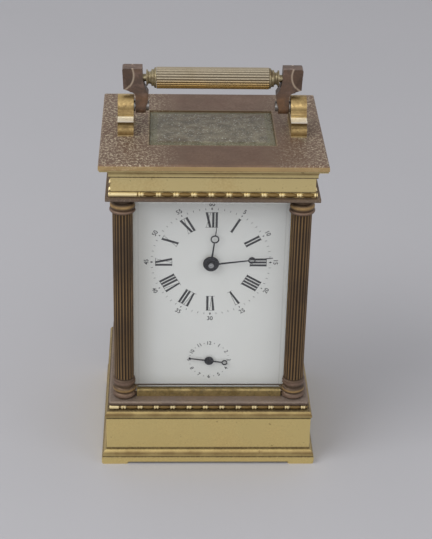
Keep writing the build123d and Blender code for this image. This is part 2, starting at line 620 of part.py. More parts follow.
# Rear door: rebated frame, glass, hinge pins and pull knob
with BuildPart() as door_frame:
    mid_x, half_door = (DOOR_AXIS_X + DOOR_RIGHT) / 2, (DOOR_RIGHT - DOOR_AXIS_X) / 2
    mid_z, tall = (DOOR_BOTTOM + DOOR_TOP) / 2, DOOR_TOP - DOOR_BOTTOM
    open_x = half_door - DOOR_STILE
    open_z = tall - 2 * DOOR_STILE
    block(
        DOOR_AXIS_X, DOOR_RIGHT, DOOR_Y - DOOR_T / 2, DOOR_Y + DOOR_T / 2, DOOR_BOTTOM, DOOR_TOP
    )
    post(DOOR_AXIS_X, DOOR_Y, DOOR_T / 2, DOOR_BOTTOM, DOOR_TOP)
    with BuildSketch(front_plane(DOOR_Y + DOOR_T / 2, mid_x, mid_z)):
        Rectangle(2 * open_x, open_z)
    extrude(amount=DOOR_T, mode=Mode.SUBTRACT)
    with BuildSketch(front_plane(DOOR_Y - DOOR_T / 2 + DOOR_GLASS_T, mid_x, mid_z)):
        Rectangle(2 * (open_x + DOOR_REBATE), open_z + 2 * DOOR_REBATE)
    extrude(amount=DOOR_GLASS_T, mode=Mode.SUBTRACT)
    for z in (DOOR_BOTTOM, DOOR_TOP - 3.0):
        post(DOOR_AXIS_X, DOOR_Y, DOOR_PIN_R, z, z + 3.0, Mode.SUBTRACT)
    rod(DOOR_RIGHT - DOOR_STILE / 2, mid_z, 0.9, DOOR_Y - DOOR_T / 2, DOOR_Y + DOOR_T / 2, Mode.SUBTRACT)
write(door_frame.part, "rear_door_frame")

with BuildPart() as door_glass:
    half = open_x + DOOR_REBATE - FLAT_GAP
    with BuildSketch(front_plane(DOOR_Y - DOOR_T / 2 + DOOR_GLASS_T, mid_x, mid_z)):
        Rectangle(2 * half, open_z + 2 * (DOOR_REBATE - FLAT_GAP))
    extrude(amount=DOOR_GLASS_T)
write(door_glass.part, "rear_door_glass")

with BuildPart() as hinge_pins:
    reach = DOOR_PIN_DEPTH - GAP
    post(DOOR_AXIS_X, DOOR_Y, DOOR_PIN_R, SEAT_TOP - reach, DOOR_BOTTOM + 3.0)
    post(DOOR_AXIS_X, DOOR_Y, DOOR_PIN_R, DOOR_TOP - 3.0, COLUMN_TOP + reach)
write(hinge_pins.part, "door_hinge_pins")

with BuildPart() as door_knob:
    knob_x = DOOR_RIGHT - DOOR_STILE / 2
    with BuildSketch(Plane(origin=(knob_x, DOOR_Y + DOOR_T / 2, mid_z), x_dir=(1, 0, 0), z_dir=(0, 0, 1))):
        with BuildLine():
            Polyline((0, -DOOR_T), (0.85, -DOOR_T), (0.85, 0), (1.6, 0), (1.0, 0.8), (1.0, 1.4))
            ThreePointArc((1.0, 1.4), (DOOR_KNOB_R, 3.0), (1.2, 4.8))
            Polyline((1.2, 4.8), (0, 4.8), (0, -DOOR_T))
        make_face()
    revolve(axis=Axis(origin=(knob_x, 0, mid_z), direction=(0, 1, 0)))
write(door_knob.part, "door_knob")

# Movement frame: seat, two plates, pillars and dial feet
SECOND_X, SECOND_Z = -12.2, 91.1
second_reach = (BARREL_TEETH + SECOND_LEAVES) * MODULE_BARREL / 2
BARREL_X, BARREL_Z = -12.0, SECOND_Z - sqrt(second_reach**2 - 0.2**2)
third_reach = (CENTRE_TEETH + THIRD_LEAVES) * MODULE_WHEEL / 2
THIRD_X, THIRD_Z = 11.48, CENTRE_Z + sqrt(third_reach**2 - 11.48**2)
contrate_reach = (THIRD_TEETH + CONTRATE_LEAVES) * MODULE_THIRD / 2
CONTRATE_RISE = 6.4
CONTRATE_Z = THIRD_Z + CONTRATE_RISE
CONTRATE_X = THIRD_X - sqrt(contrate_reach**2 - CONTRATE_RISE**2)
ALARM_BARREL_X, ALARM_BARREL_Z = 16.0, 68.0
MINUTE_WHEEL_X = (CANNON_LEAVES + MINUTE_WHEEL_TEETH) * MODULE_MOTION / 2
HAMMER_X, HAMMER_Z = 18.0, 50.0
ARBOR_BORE = 1.2
STUD_R = 0.6
ARBORS = [
    (SECOND_X, SECOND_Z, PIVOT_END_R),
    (THIRD_X, THIRD_Z, PIVOT_END_R),
    (CONTRATE_X, CONTRATE_Z, PIVOT_END_R),
    (HAMMER_X, HAMMER_Z, PIVOT_END_R),
    (0.0, CENTRE_Z, ARBOR_BORE),
    (0.0, ALARM_Z, ARBOR_BORE),
    (BARREL_X, BARREL_Z, 2.0),
    (ALARM_BARREL_X, ALARM_BARREL_Z, 1.6),
]

with BuildPart() as movement_seat:
    block(-PLATE_X, PLATE_X, FRONT_PLATE_Y, BACK_PLATE_Y + PLATE_T, SEAT_TOP, PLATES_BOTTOM)
    with BuildSketch(Plane.XY.offset(SEAT_TOP)):
        with Locations((18.0, 0)):
            RectangleRounded(10.0, 16.0, 2.0)
    extrude(amount=MOVEMENT_SEAT_T, mode=Mode.SUBTRACT)
write(movement_seat.part, "movement_seat")


def plate(y, stud_x=0.0, stud_reach=0.0):
    """A movement plate bored for every arbor, with the stud of the minute wheel if it has one."""
    with BuildPart() as sheet:
        with BuildSketch(front_plane(y + PLATE_T, 0, (PLATES_BOTTOM + PLATES_TOP) / 2)):
            RectangleRounded(2 * PLATE_X, PLATES_TOP - PLATES_BOTTOM, 1.5)
        extrude(amount=PLATE_T)
        for x, z, r in ARBORS:
            rod(x, z, r + PIVOT_HOLE, y, y + PLATE_T, Mode.SUBTRACT)
        if stud_reach:
            rod(stud_x, CENTRE_Z, STUD_R, y - stud_reach, y)
    return sheet.part


write(plate(FRONT_PLATE_Y, MINUTE_WHEEL_X, 4.4), "front_plate")
write(plate(BACK_PLATE_Y), "back_plate")

with BuildPart() as pillars:
    for x in (-PLATE_X + PILLAR_INSET, PLATE_X - PILLAR_INSET):
        for z in (PLATES_BOTTOM + PILLAR_INSET, PLATES_TOP - PILLAR_INSET):
            rod(x, z, PILLAR_R, FRONT_PLATE_Y + PLATE_T, BACK_PLATE_Y)
write(pillars.part, "movement_pillars")

with BuildPart() as dial:
    block(-DIAL_HALF, DIAL_HALF, DIAL_FACE_Y, DIAL_FACE_Y + DIAL_T, DIAL_BOTTOM, DIAL_TOP)
    for x in (-PLATE_X + 8.0, PLATE_X - 8.0):
        for z in (PLATES_BOTTOM + 3.0, PLATES_TOP - 3.0):
            rod(x, z, 1.3, DIAL_FACE_Y + DIAL_T, FRONT_PLATE_Y)
    rod(0, CENTRE_Z, 2.6, DIAL_FACE_Y, DIAL_FACE_Y + DIAL_T, Mode.SUBTRACT)
    rod(0, ALARM_Z, 1.3, DIAL_FACE_Y, DIAL_FACE_Y + DIAL_T, Mode.SUBTRACT)
write(dial.part, "dial")


# Hands with open rings near their tips
def ring_hand(y, z, angle, length, ring_r, boss_r, bore_r, width):
    """A blade that tapers to its tip, with an open ring at two thirds of its length."""
    ring_z = RING_AT * length
    with BuildPart() as hand:
        with BuildSketch(front_plane(y + HAND_T, 0, z, angle)):
            with BuildLine():
                Polyline((-width / 2, 0), (width / 2, 0), (0.12, length), (-0.12, length), (-width / 2, 0))
            make_face()
            Circle(boss_r)
            with Locations((0, ring_z)):
                Circle(ring_r)
                Circle(ring_r - RING_WEB, mode=Mode.SUBTRACT)
            Circle(bore_r, mode=Mode.SUBTRACT)
        extrude(amount=HAND_T)
    return hand.part


write(ring_hand(HOUR_HAND_Y, CENTRE_Z, HOUR_ANGLE, HOUR_LEN, HOUR_RING_R, 3.5, 2.0, 0.9), "hour_hand")
write(ring_hand(MINUTE_HAND_Y, CENTRE_Z, MINUTE_ANGLE, MINUTE_LEN, MINUTE_RING_R, 3.2, 1.2, 0.8), "minute_hand")

with BuildPart() as alarm_hand:
    with BuildSketch(front_plane(ALARM_HAND_Y + HAND_T, 0, ALARM_Z, ALARM_ANGLE)):
        Circle(2.1)
        with Locations((0, -ALARM_TAIL / 2)):
            Rectangle(0.5, ALARM_TAIL)
        with Locations((0, -ALARM_TAIL)):
            Circle(0.55)
        with Locations((0, ALARM_LEN / 2)):
            Rectangle(0.5, ALARM_LEN)
        with Locations((0, ALARM_LEN - ALARM_RING_R)):
            Circle(ALARM_RING_R)
            Circle(ALARM_RING_R - RING_WEB, mode=Mode.SUBTRACT)
        Circle(0.8, mode=Mode.SUBTRACT)
    extrude(amount=HAND_T)
write(alarm_hand.part, "alarm_hand")

# Arbors that carry the hands through to their setting knobs behind the back plate
KNOB_Y = BACK_PLATE_Y + PLATE_T + 3.0
KNOB_T = 3.0


def setting_knob(z, r):
    """A knurled knob on the rear end of a setting arbor."""
    with BuildSketch(front_plane(KNOB_Y + KNOB_T, 0, z)) as knurled:
        Circle(r)
        with PolarLocations(r, 14):
            Circle(0.35, mode=Mode.SUBTRACT)
    extrude(knurled.sketch, amount=KNOB_T)


with BuildPart() as centre_arbor:
    rod(0, CENTRE_Z, ARBOR_BORE, MINUTE_HAND_Y - 0.8, FRONT_PLATE_Y + PLATE_T + 0.5)
    rod(0, CENTRE_Z, 1.0, FRONT_PLATE_Y, KNOB_Y + KNOB_T + 0.3)
    rod(0, CENTRE_Z, ARBOR_BORE, BACK_PLATE_Y, KNOB_Y)
    rod(0, CENTRE_Z, 1.75, MINUTE_HAND_Y - 0.9, MINUTE_HAND_Y)
    setting_knob(CENTRE_Z, 4.2)
write(centre_arbor.part, "centre_arbor")

with BuildPart() as alarm_arbor:
    rod(0, ALARM_Z, ARBOR_BORE, DIAL_FACE_Y + DIAL_T + 0.5, BACK_PLATE_Y + PLATE_T + 0.4)
    rod(0, ALARM_Z, 0.8, ALARM_HAND_Y - 0.4, DIAL_FACE_Y + DIAL_T + 0.5)
    rod(0, ALARM_Z, 1.0, BACK_PLATE_Y, KNOB_Y + KNOB_T + 0.3)
    setting_knob(ALARM_Z, 3.4)
write(alarm_arbor.part, "alarm_arbor")


# Wheels and pinions with straight-sided teeth; the large wheels are crossed out
SECOND_AT, THIRD_AT = (SECOND_X, SECOND_Z), (THIRD_X, THIRD_Z)
BARREL_AT, CENTRE_AT = (BARREL_X, BARREL_Z), (0.0, CENTRE_Z)
CONTRATE_AT, MINUTE_AT = (CONTRATE_X, CONTRATE_Z), (MINUTE_WHEEL_X, CENTRE_Z)


def tooth(form, module):
    """One tooth on its pitch circle, local x outward, with its foot sunk into the disc."""
    over, under, tip, mid, root = (share * module for share in form)
    sunk = under + 0.3 * module
    Polygon(
        (-sunk, -root / 2),
        (0, -mid / 2),
        (over, -tip / 2),
        (over, tip / 2),
        (0, mid / 2),
        (-sunk, root / 2),
    )


def layer(at, partner, teeth, module, y_front, y_back, bore_r=0.0, arms=0):
    """A wheel, or a pinion if its teeth are few; a wheel's tooth meets a gap of its partner."""
    leaves = teeth < MOST_LEAVES
    form = PINION_LEAF if leaves else WHEEL_TOOTH
    aim = degrees(atan2(partner[1] - at[1], partner[0] - at[0])) + (180 / teeth if leaves else 0)
    pitch_r = teeth * module / 2
    disc_r = pitch_r - form[1] * module
    with BuildSketch(front_plane(y_back, *at)) as outline:
        Circle(disc_r)
        with PolarLocations(pitch_r, teeth, start_angle=aim):
            tooth(form, module)
        if arms:
            Circle(disc_r - RIM_W, mode=Mode.SUBTRACT)
            with PolarLocations(0, arms, angular_range=180):
                Rectangle(2 * disc_r - RIM_W, WHEEL_ARM_W)
            Circle(HUB_R)
        if bore_r:
            Circle(bore_r, mode=Mode.SUBTRACT)
    extrude(outline.sketch, amount=y_back - y_front)


def train_arbor(x, z, end_r=PIVOT_END_R, body_r=ARBOR_R):
    rod(x, z, end_r, FRONT_PLATE_Y, BACK_PLATE_Y + PLATE_T)
    rod(x, z, body_r, FRONT_PLATE_Y + PLATE_T + GAP, BACK_PLATE_Y - GAP)


BARREL_FRONT, BARREL_BACK = -13.0, 2.2
BARREL_ARBOR_R = 2.0
with BuildPart() as going_barrel:
    drum_r = BARREL_TEETH * MODULE_BARREL / 2 - 1.4
    rod(BARREL_X, BARREL_Z, drum_r, BARREL_FRONT, BARREL_BACK - 1.0)
    layer(BARREL_AT, SECOND_AT, BARREL_TEETH, MODULE_BARREL, BARREL_BACK - 1.2, BARREL_BACK)
    rod(BARREL_X, BARREL_Z, BARREL_ARBOR_R + RUN, BARREL_FRONT, BARREL_BACK, Mode.SUBTRACT)
write(going_barrel.part, "going_barrel")


def winding_arbor(x, z, r):
    """A barrel arbor through both plates, with the square that the key fits behind."""
    square_y = BACK_PLATE_Y + PLATE_T + 1.4
    with BuildPart() as arbor:
        rod(x, z, r, FRONT_PLATE_Y, square_y)
        with BuildSketch(front_plane(square_y + 5.0, x, z)):
            Rectangle(r * 1.35, r * 1.35)
        extrude(amount=5.0)
    return arbor.part


write(winding_arbor(BARREL_X, BARREL_Z, BARREL_ARBOR_R), "winding_arbor")

with BuildPart() as second_wheel:
    train_arbor(SECOND_X, SECOND_Z)
    layer(SECOND_AT, BARREL_AT, SECOND_LEAVES, MODULE_BARREL, 0.6, 2.8)
    layer(SECOND_AT, CENTRE_AT, SECOND_TEETH, MODULE_WHEEL, 6.0, 7.0, arms=2)
write(second_wheel.part, "second_wheel")

with BuildPart() as centre_wheel:
    layer(CENTRE_AT, SECOND_AT, CENTRE_LEAVES, MODULE_WHEEL, 5.4, 9.8, 1.0 + RUN)
    layer(CENTRE_AT, THIRD_AT, CENTRE_TEETH, MODULE_WHEEL, 9.8, 10.8, 1.0 + RUN, arms=2)
write(centre_wheel.part, "centre_wheel")

with BuildPart() as third_wheel:
    train_arbor(THIRD_X, THIRD_Z)
    layer(THIRD_AT, CENTRE_AT, THIRD_LEAVES, MODULE_WHEEL, 9.2, 11.4)
    layer(THIRD_AT, CONTRATE_AT, THIRD_TEETH, MODULE_THIRD, -8.0, -7.0, arms=2)
write(third_wheel.part, "third_wheel")

CONTRATE_R = 7.0
CROWN_W, CROWN_H, CROWN_TOOTH = 1.2, 1.0, 0.38
with BuildPart() as contrate_wheel:
    train_arbor(CONTRATE_X, CONTRATE_Z, body_r=0.8)
    layer(CONTRATE_AT, THIRD_AT, CONTRATE_LEAVES, MODULE_THIRD, -9.0, -6.0)
    with BuildSketch(front_plane(1.0, *CONTRATE_AT)):
        Circle(CONTRATE_R)
        Circle(CONTRATE_R - CROWN_W, mode=Mode.SUBTRACT)
        with PolarLocations(0, 2, angular_range=180):
            Rectangle(2 * CONTRATE_R - CROWN_W, WHEEL_ARM_W)
        Circle(HUB_R)
    extrude(amount=1.0)
    with BuildSketch(front_plane(1.0 + CROWN_H, *CONTRATE_AT)):
        with PolarLocations(CONTRATE_R - CROWN_W / 2, CROWN_TEETH, start_angle=90):
            Rectangle(CROWN_W - FLAT_GAP, CROWN_TOOTH)
    extrude(amount=CROWN_H)
write(contrate_wheel.part, "contrate_wheel")

# Alarm train: barrel, winding arbor, hammer and bell
with BuildPart() as alarm_barrel:
    rod(ALARM_BARREL_X, ALARM_BARREL_Z, 10.0, -10.0, 4.0)
    rod(ALARM_BARREL_X, ALARM_BARREL_Z, 10.6, 4.0, 5.2)
    rod(ALARM_BARREL_X, ALARM_BARREL_Z, 1.6 + RUN, -10.0, 5.2, Mode.SUBTRACT)
write(alarm_barrel.part, "alarm_barrel")
write(winding_arbor(ALARM_BARREL_X, ALARM_BARREL_Z, 1.6), "alarm_winding_arbor")

BELL_R, BELL_LOW, BELL_TOP, BELL_T = 20.0, 8.0, 17.0, 1.2
BELL_POST_R, BELL_CROWN_R = 1.8, 4.0
BELL_X = -6.0
with BuildPart() as bell:
    with BuildSketch(Plane.XZ):
        with BuildLine():
            Line((BELL_R, BELL_LOW), (BELL_R - BELL_T, BELL_LOW))
            ThreePointArc(
                (BELL_R - BELL_T, BELL_LOW),
                (BELL_R * 0.66, BELL_TOP - 2.8 - BELL_T),
                (BELL_CROWN_R, BELL_TOP - BELL_T),
            )
            Polyline(
                (BELL_CROWN_R, BELL_TOP - BELL_T),
                (BELL_POST_R + GAP, BELL_TOP - BELL_T),
                (BELL_POST_R + GAP, BELL_TOP),
                (BELL_CROWN_R, BELL_TOP),
            )
            ThreePointArc((BELL_CROWN_R, BELL_TOP), (BELL_R * 0.7, BELL_TOP - 2.8), (BELL_R, BELL_LOW))
        make_face()
    revolve(axis=Axis.Z)
bell_part = bell.part.moved(Location((BELL_X, 0, 0)))
write(bell_part, "alarm_bell")

with BuildPart() as bell_post:
    shoulder = BELL_TOP - BELL_T
    post(BELL_X, 0, BELL_CROWN_R - 1.0, FOOT_H + FLOOR_T, shoulder)
    post(BELL_X, 0, BELL_POST_R, shoulder, BELL_TOP)
    post(BELL_X, 0, BELL_CROWN_R - 0.8, BELL_TOP, BELL_TOP + 1.6)
write(bell_post.part, "bell_post")

HAMMER_HEAD_Z = 13.0
with BuildPart() as hammer:
    train_arbor(HAMMER_X, HAMMER_Z, body_r=1.2)
    with BuildSketch(front_plane(1.0, HAMMER_X, HAMMER_Z)):
        with Locations((0, (HAMMER_HEAD_Z - HAMMER_Z) / 2)):
            Rectangle(1.2, HAMMER_Z - HAMMER_HEAD_Z)
    extrude(amount=2.0)
    rod(HAMMER_X, HAMMER_HEAD_Z, 2.0, -3.0, 3.0)
write(hammer.part, "alarm_hammer")

# Platform with the balance, seen through the roof glass
PLATFORM_TOP = PLATES_TOP + PLATFORM_T
BALANCE_X, BALANCE_Y = -4.0, -4.0
BALANCE_R = 7.5
BALANCE_Z = PLATFORM_TOP + 4.2
COCK_Z = PLATFORM_TOP + 7.0
STAFF_R = 0.4
with BuildPart() as platform:
    with BuildSketch(Plane.XY.offset(PLATES_TOP)):
        RectangleRounded(2 * PLATFORM_X, BACK_PLATE_Y + PLATE_T - FRONT_PLATE_Y, 2.0)
    extrude(amount=PLATFORM_T)
    post(BALANCE_X, BALANCE_Y, STAFF_R + RUN, PLATES_TOP, PLATFORM_TOP, Mode.SUBTRACT)
platform_part = platform.part.moved(Location((0, (BACK_PLATE_Y + PLATE_T + FRONT_PLATE_Y) / 2, 0)))
write(platform_part, "platform")

with BuildPart() as balance:
    post(BALANCE_X, BALANCE_Y, STAFF_R, PLATES_TOP + 0.2, COCK_Z + 1.2)
    with BuildSketch(Plane.XY.offset(BALANCE_Z)):
        with Locations((BALANCE_X, BALANCE_Y)):
            Circle(BALANCE_R)
            Circle(BALANCE_R - 1.0, mode=Mode.SUBTRACT)
            Rectangle(2 * BALANCE_R - 1.0, 1.0)
            Circle(1.2)
    extrude(amount=1.0)
write(balance.part, "balance_wheel")

with BuildPart() as cock:
    foot_x = BALANCE_X + BALANCE_R + 3.6
    with BuildSketch(Plane.XY.offset(COCK_Z)):
        with Locations(((BALANCE_X + foot_x) / 2, BALANCE_Y)):
            SlotCenterToCenter(foot_x - BALANCE_X, 5.0)
    extrude(amount=1.5)
    post(foot_x, BALANCE_Y, 2.4, PLATFORM_TOP, COCK_Z)
    post(BALANCE_X, BALANCE_Y, STAFF_R + RUN, COCK_Z, COCK_Z + 1.5, Mode.SUBTRACT)
write(cock.part, "balance_cock")

# Motion work between the front plate and the dial
with BuildPart() as cannon:
    layer(CENTRE_AT, MINUTE_AT, CANNON_LEAVES, MODULE_MOTION, -20.0, FRONT_PLATE_Y - GAP, ARBOR_BORE)
write(cannon.part, "cannon_pinion")

with BuildPart() as hour_wheel:
    layer(CENTRE_AT, MINUTE_AT, HOUR_WHEEL_TEETH, MODULE_HOUR, -21.6, -20.6, ARBOR_BORE + RUN)
    with BuildSketch(front_plane(-20.6, 0, CENTRE_Z)):
        Circle(2.0)
        Circle(ARBOR_BORE + RUN, mode=Mode.SUBTRACT)
    extrude(amount=-20.6 - (HOUR_HAND_Y - 0.1))
write(hour_wheel.part, "hour_wheel")

with BuildPart() as minute_wheel:
    layer(MINUTE_AT, CENTRE_AT, MINUTE_WHEEL_TEETH, MODULE_MOTION, -19.6, -18.6, STUD_R + RUN)
    layer(MINUTE_AT, CENTRE_AT, MINUTE_WHEEL_LEAVES, MODULE_HOUR, -22.0, -19.6, STUD_R + RUN)
write(minute_wheel.part, "minute_wheel")
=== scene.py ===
from math import cos, pi, radians, sin

import bpy
import numpy as np
from mathutils import Matrix, Vector


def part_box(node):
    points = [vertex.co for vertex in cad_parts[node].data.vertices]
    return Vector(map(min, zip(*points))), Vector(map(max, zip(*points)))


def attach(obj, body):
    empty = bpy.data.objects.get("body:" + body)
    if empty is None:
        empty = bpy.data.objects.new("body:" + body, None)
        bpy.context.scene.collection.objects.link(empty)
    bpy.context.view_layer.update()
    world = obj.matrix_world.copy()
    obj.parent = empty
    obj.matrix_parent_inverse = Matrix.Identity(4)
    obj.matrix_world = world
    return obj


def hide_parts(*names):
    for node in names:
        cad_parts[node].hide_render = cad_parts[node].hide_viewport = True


# An officers clock: a brass case on four corner columns with bevelled glasses, a white
# dial with an alarm dial under it, a rear door, and a folding reeded handle.
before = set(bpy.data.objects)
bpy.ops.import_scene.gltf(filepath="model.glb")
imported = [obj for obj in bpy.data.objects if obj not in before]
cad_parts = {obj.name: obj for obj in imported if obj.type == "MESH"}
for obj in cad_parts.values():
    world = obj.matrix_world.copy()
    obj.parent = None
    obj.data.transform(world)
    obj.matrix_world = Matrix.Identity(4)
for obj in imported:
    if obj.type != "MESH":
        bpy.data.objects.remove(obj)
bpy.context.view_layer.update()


# Table, lamps and camera. The clock stands on pale grey paper. A large soft lamp hangs to the
# upper left, weaker ones to the front and the right, and the room's light fills the rest.
def grid_mesh(name, points, tube=False):
    """Quads over points[i, j], facing along the j direction crossed with the i direction.
    A tube joins its last j to its first, and has both ends closed."""
    rows, cols = points.shape[:2]
    i = np.arange(rows - 1)[:, None]
    j = np.arange(cols if tube else cols - 1)[None, :]
    a, b = i * cols + j, i * cols + (j + 1) % cols
    c, d = (i + 1) * cols + (j + 1) % cols, (i + 1) * cols + j
    faces = np.stack([a, b, c, d], -1).reshape(-1, 4).tolist()
    if tube:
        faces.append(list(range(cols))[::-1])
        faces.append(list(range((rows - 1) * cols, rows * cols)))
    mesh = bpy.data.meshes.new(name)
    mesh.from_pydata(points.reshape(-1, 3).tolist(), [], faces)
    mesh.validate()
    return mesh


def piece(name, mesh, material, body=None, smooth=True):
    """Links a mesh as an object at the origin, and lets it ride on a body of the clock."""
    made = bpy.data.objects.new(name, mesh)
    bpy.context.scene.collection.objects.link(made)
    mesh.materials.append(material)
    mesh.polygons.foreach_set("use_smooth", [smooth] * len(mesh.polygons))
    if body:
        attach(made, body)
    return made


class Wire:
    """An output socket of one material; arithmetic on it adds Math nodes."""

    def __init__(self, tree, socket=None):
        self.tree, self.socket = tree, socket

    def node(self, kind, settings=None, sockets=None, out=0):
        """Adds one node: its settings first, then the values or wires of its sockets."""
        made = self.tree.nodes.new(kind)
        for key, value in (settings or {}).items():
            setattr(made, key, value)
        for key, value in (sockets or {}).items():
            if isinstance(value, Wire):
                self.tree.links.new(value.socket, made.inputs[key])
            else:
                made.inputs[key].default_value = value
        return Wire(self.tree, made.outputs[out])

    def to(self, node, name):
        """Leads this output into a socket of a node that is there already."""
        self.tree.links.new(self.socket, node.inputs[name])

    def math(self, operation, *values):
        return self.node("ShaderNodeMath", {"operation": operation}, dict(enumerate(values)))

    def __add__(self, other):
        return self.math("ADD", self, other)

    def __sub__(self, other):
        return self.math("SUBTRACT", self, other)

    def __rsub__(self, other):
        return self.math("SUBTRACT", other, self)

    def __mul__(self, other):
        return self.math("MULTIPLY", self, other)

    def __truediv__(self, other):
        return self.math("DIVIDE", self, other)

    def __rtruediv__(self, other):
        return self.math("DIVIDE", other, self)

    def __abs__(self):
        return self.math("ABSOLUTE", self)

    __radd__, __rmul__ = __add__, __mul__

    def root(self):
        return self.math("SQRT", self)

    def most(self, other):
        return self.math("MAXIMUM", self, other)

    def least(self, other):
        return self.math("MINIMUM", self, other)

    def clip(self):
        return self.node("ShaderNodeClamp", None, {0: self, 1: 0.0, 2: 1.0})


def srgb(r, g, b):
    """Linear colour of an eight-bit one, as the display curve turns it round."""
    c = np.array([r, g, b]) / 255
    return (*np.where(c < 0.04045, c / 12.92, ((c + 0.055) / 1.055) ** 2.4).tolist(), 1.0)


def mix(a, b, share):
    """Colour a where share is 0, colour b where it is 1."""
    return share.node("ShaderNodeMix", {"data_type": "RGBA"}, {0: share, 6: a, 7: b}, out=2)


def begin(name):
    """A new material, its surface shader, and the place on the object in metres."""
    made = bpy.data.materials.new(name)
    made.use_nodes = True
    place = Wire(made.node_tree).node("ShaderNodeTexCoord", out="Object")
    return made, made.node_tree.nodes["Principled BSDF"], place


def noise(place, scale, detail=3.0, rough=0.55):
    """Cloudy values about a half, with patches about 1/scale metres across."""
    return place.node(
        "ShaderNodeTexNoise",
        {"noise_dimensions": "3D"},
        {"Vector": place, "Scale": scale, "Detail": detail, "Roughness": rough},
    )


paper, shader, place = begin("grey_paper")
mix(srgb(171, 171, 174), srgb(176, 175, 178), noise(place, 6.0)).to(shader, "Base Color")
shader.inputs["Roughness"].default_value = 0.85
half_table = 3.0
u, v = np.meshgrid(*[np.linspace(-half_table, half_table, 9)] * 2)
floor = piece("paper", grid_mesh("paper", np.stack([u, v, 0 * u], -1)), paper)

world = bpy.data.worlds.new("room")
bpy.context.scene.world = world
world.use_nodes = True
room_light, room_seen = (0.66, 0.66, 0.68, 1), srgb(160, 160, 162)
seen = Wire(world.node_tree).node("ShaderNodeLightPath", out="Is Camera Ray")
mix(room_light, room_seen, seen).to(world.node_tree.nodes["Background"], "Color")

for lamp_name, lamp_at, lamp_size, lamp_power in (
    ("left_softbox", (-0.75, -0.45, 1.0), 0.8, 8.0),
    ("right_softbox", (0.9, -0.6, 0.7), 0.6, 1.6),
    ("front_softbox", (0.1, -1.3, 0.9), 0.7, 2.4),
):
    lamp = bpy.data.lights.new(lamp_name, "AREA")
    lamp.size, lamp.energy = lamp_size, lamp_power
    hung = bpy.data.objects.new(lamp_name, lamp)
    bpy.context.scene.collection.objects.link(hung)
    aim = Vector((0, 0, 0.08)) - Vector(lamp_at)
    turned = aim.to_track_quat("-Z", "Y").to_matrix().to_4x4()
    hung.matrix_world = Matrix.Translation(lamp_at) @ turned

azimuth, elevation, roll = radians(-2.306), radians(28.592), radians(1.3106)
back = Vector((sin(azimuth) * cos(elevation), -cos(azimuth) * cos(elevation), sin(elevation)))
right = Vector((cos(azimuth), sin(azimuth), 0))
up = back.cross(right)
right, up = right * cos(roll) + up * sin(roll), up * cos(roll) - right * sin(roll)
lens = bpy.data.cameras.new("camera")
lens.sensor_fit, lens.sensor_width, lens.lens = "HORIZONTAL", 36.0, 124.70
camera = bpy.data.objects.new("camera", lens)
bpy.context.scene.collection.objects.link(camera)
aim_height, distance, aside, above = 0.075, 0.68744, 0.00338, 0.00426
stand = Vector((0, 0, aim_height)) + back * distance + right * aside + up * above
camera.matrix_world = Matrix(
    [(right[k], up[k], back[k], stand[k]) for k in range(3)] + [(0, 0, 0, 1)]
)
bpy.context.scene.camera = camera
bpy.context.scene.view_settings.view_transform = "Standard"


# Base, cornice and rails. Cast and planed brass courses, lacquered long ago: the flat bands
# are still a satin yellow, the quirks between the mouldings are painted dark as shade with some
# dirt, and the round courses have gone brown. The rails that hold the glasses are an olive brown.
def axes(place):
    """The x, y and z of a place, in millimetres."""
    split = place.node("ShaderNodeSeparateXYZ", None, {0: place})
    return [Wire(place.tree, socket) * 1000.0 for socket in split.socket.node.outputs]


def near(value, at, half):
    """1 where value is at, falling to 0 at half away from it."""
    return (1.0 - abs(value - at) / half).clip()


def aged(name, clean, tarnish, cover, rough, marks=None, metal=0.9, patch=70.0):
    """Metal whose clean colour shows through a skin of tarnish; cover is the tarnished share.
    Marks give further colours, each with its share, laid over the skin in turn."""
    made, shader, place = begin(name)
    cloud, grain, fleck = noise(place, patch, 4.0), noise(place, 900.0), noise(place, 3200.0, 1.0)
    skin = (cloud * 0.65 + grain * 0.35 - (0.75 - 0.5 * cover)) * 5.0 + 0.5
    skin = skin.clip()
    colour = mix(clean, tarnish, skin)
    if marks:
        for share, mark_colour in marks(place, grain):
            colour = mix(colour, mark_colour, share)
            skin = skin.most(share)
    colour.to(shader, "Base Color")
    (rough + skin * 0.16 + grain * 0.10).to(shader, "Roughness")
    (metal - skin * 0.35).clip().to(shader, "Metallic")
    bump = place.node(
        "ShaderNodeBump",
        None,
        {"Strength": 0.25, "Distance": 0.0002, "Height": grain * 0.6 + fleck * 0.4},
    )
    bump.to(shader, "Normal")
    return made


def dress(material, *nodes):
    """Gives CAD nodes their finish."""
    for node in nodes:
        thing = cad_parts[node]
        if not thing.material_slots:
            thing.data.materials.append(material)
        for held in thing.material_slots:
            held.material = material


def banded(z, heights):
    """The most of several bands, each given by its middle height and half its width."""
    bands = [near(z, at, half) for at, half in heights]
    most = bands[0]
    for band in bands[1:]:
        most = most.most(band)
    return most


def course_dirt(quirks, stained):
    """Dark lines in the quirks as painted shade with some dirt, brown stain on the round courses
    and specks on the flats.
    """

    def marks(place, grain):
        z = axes(place)[2]
        # Painted shade with some dirt: dark lines along the quirks between the mouldings.
        quirk_shade = (banded(z, quirks) * (0.6 + grain)).clip()
        stain = (banded(z, stained) * (0.5 + noise(place, 110.0))).clip()
        specks = ((noise(place, 420.0, 2.0) - 0.68) * 12.0).clip()
        return [
            (stain * 0.9, srgb(112, 88, 52)),
            (specks * 0.5, srgb(112, 84, 52)),
            (quirk_shade * 0.92, srgb(66, 50, 32)),
        ]

    return marks


